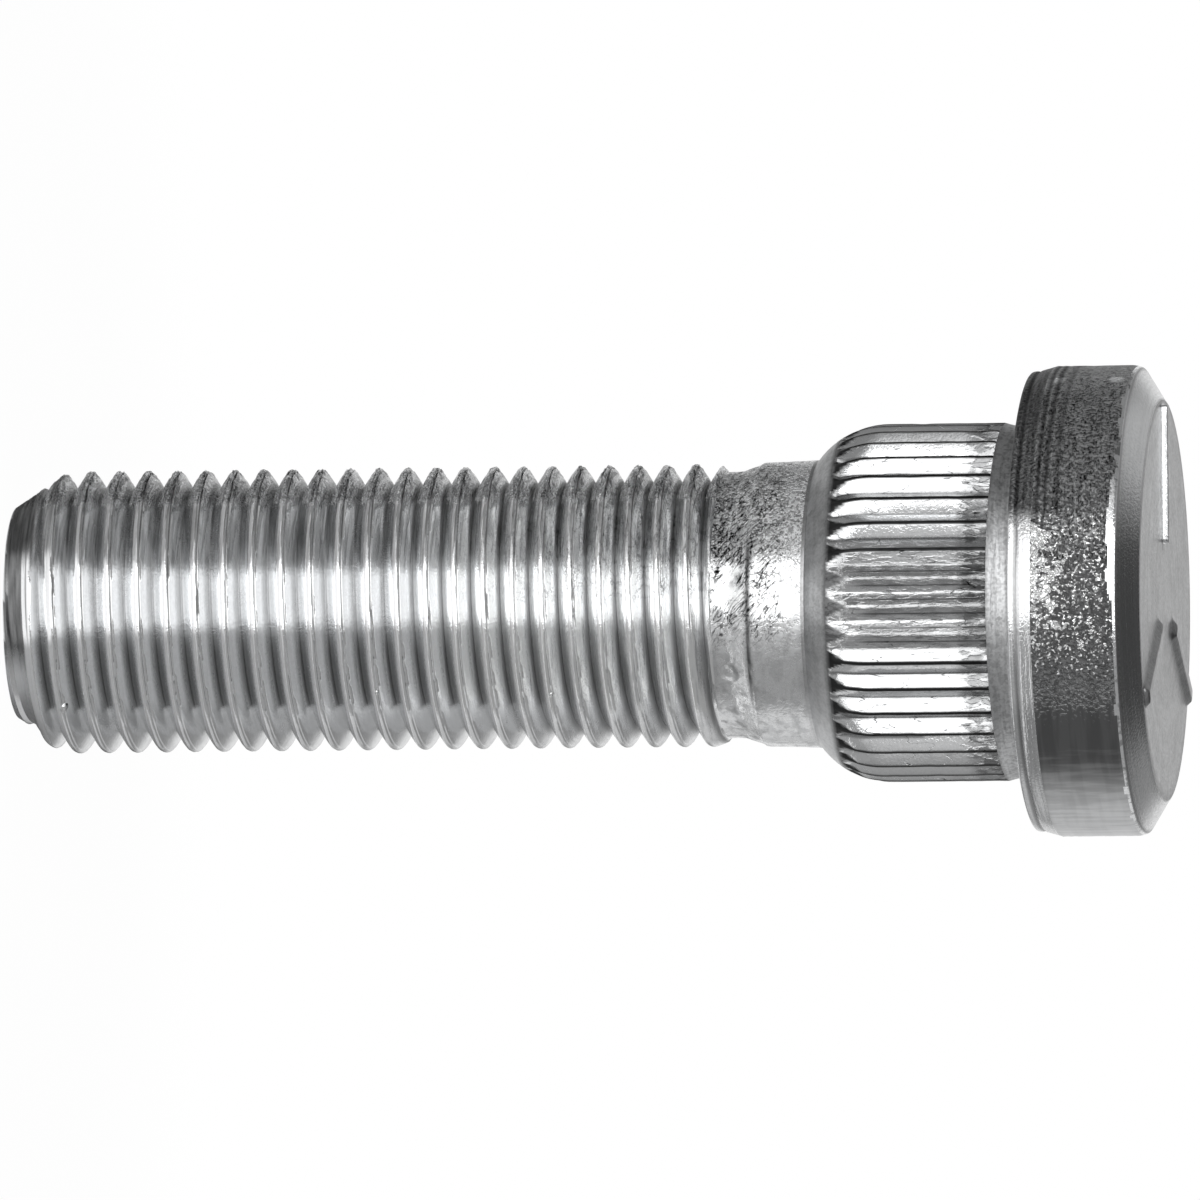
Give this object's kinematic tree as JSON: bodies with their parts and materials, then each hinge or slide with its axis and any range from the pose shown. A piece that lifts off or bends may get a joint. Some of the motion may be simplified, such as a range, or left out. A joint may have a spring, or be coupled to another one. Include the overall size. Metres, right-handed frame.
{
  "type": "headed stud",
  "caption": "Press-in stud with a threaded shank, plain neck, serrated shoulder and round chamfered head, in bright zinc plated steel.",
  "frame": {"origin": "centre of the flat threaded end, which it stands on", "axes": "+Z along the axis, from the threaded end to the head; -X is the side that is uppermost in the picture and -Y the side that faces its camera"},
  "size_m": [0.0206, 0.0204, 0.0507],
  "materials": {
    "zinc_steel": "bright zinc plating over rolled and forged steel, with scratches and a grainy head rim"
  },
  "bodies": {
    "root": {"stud": "zinc_steel"}
  },
  "joints": []
}
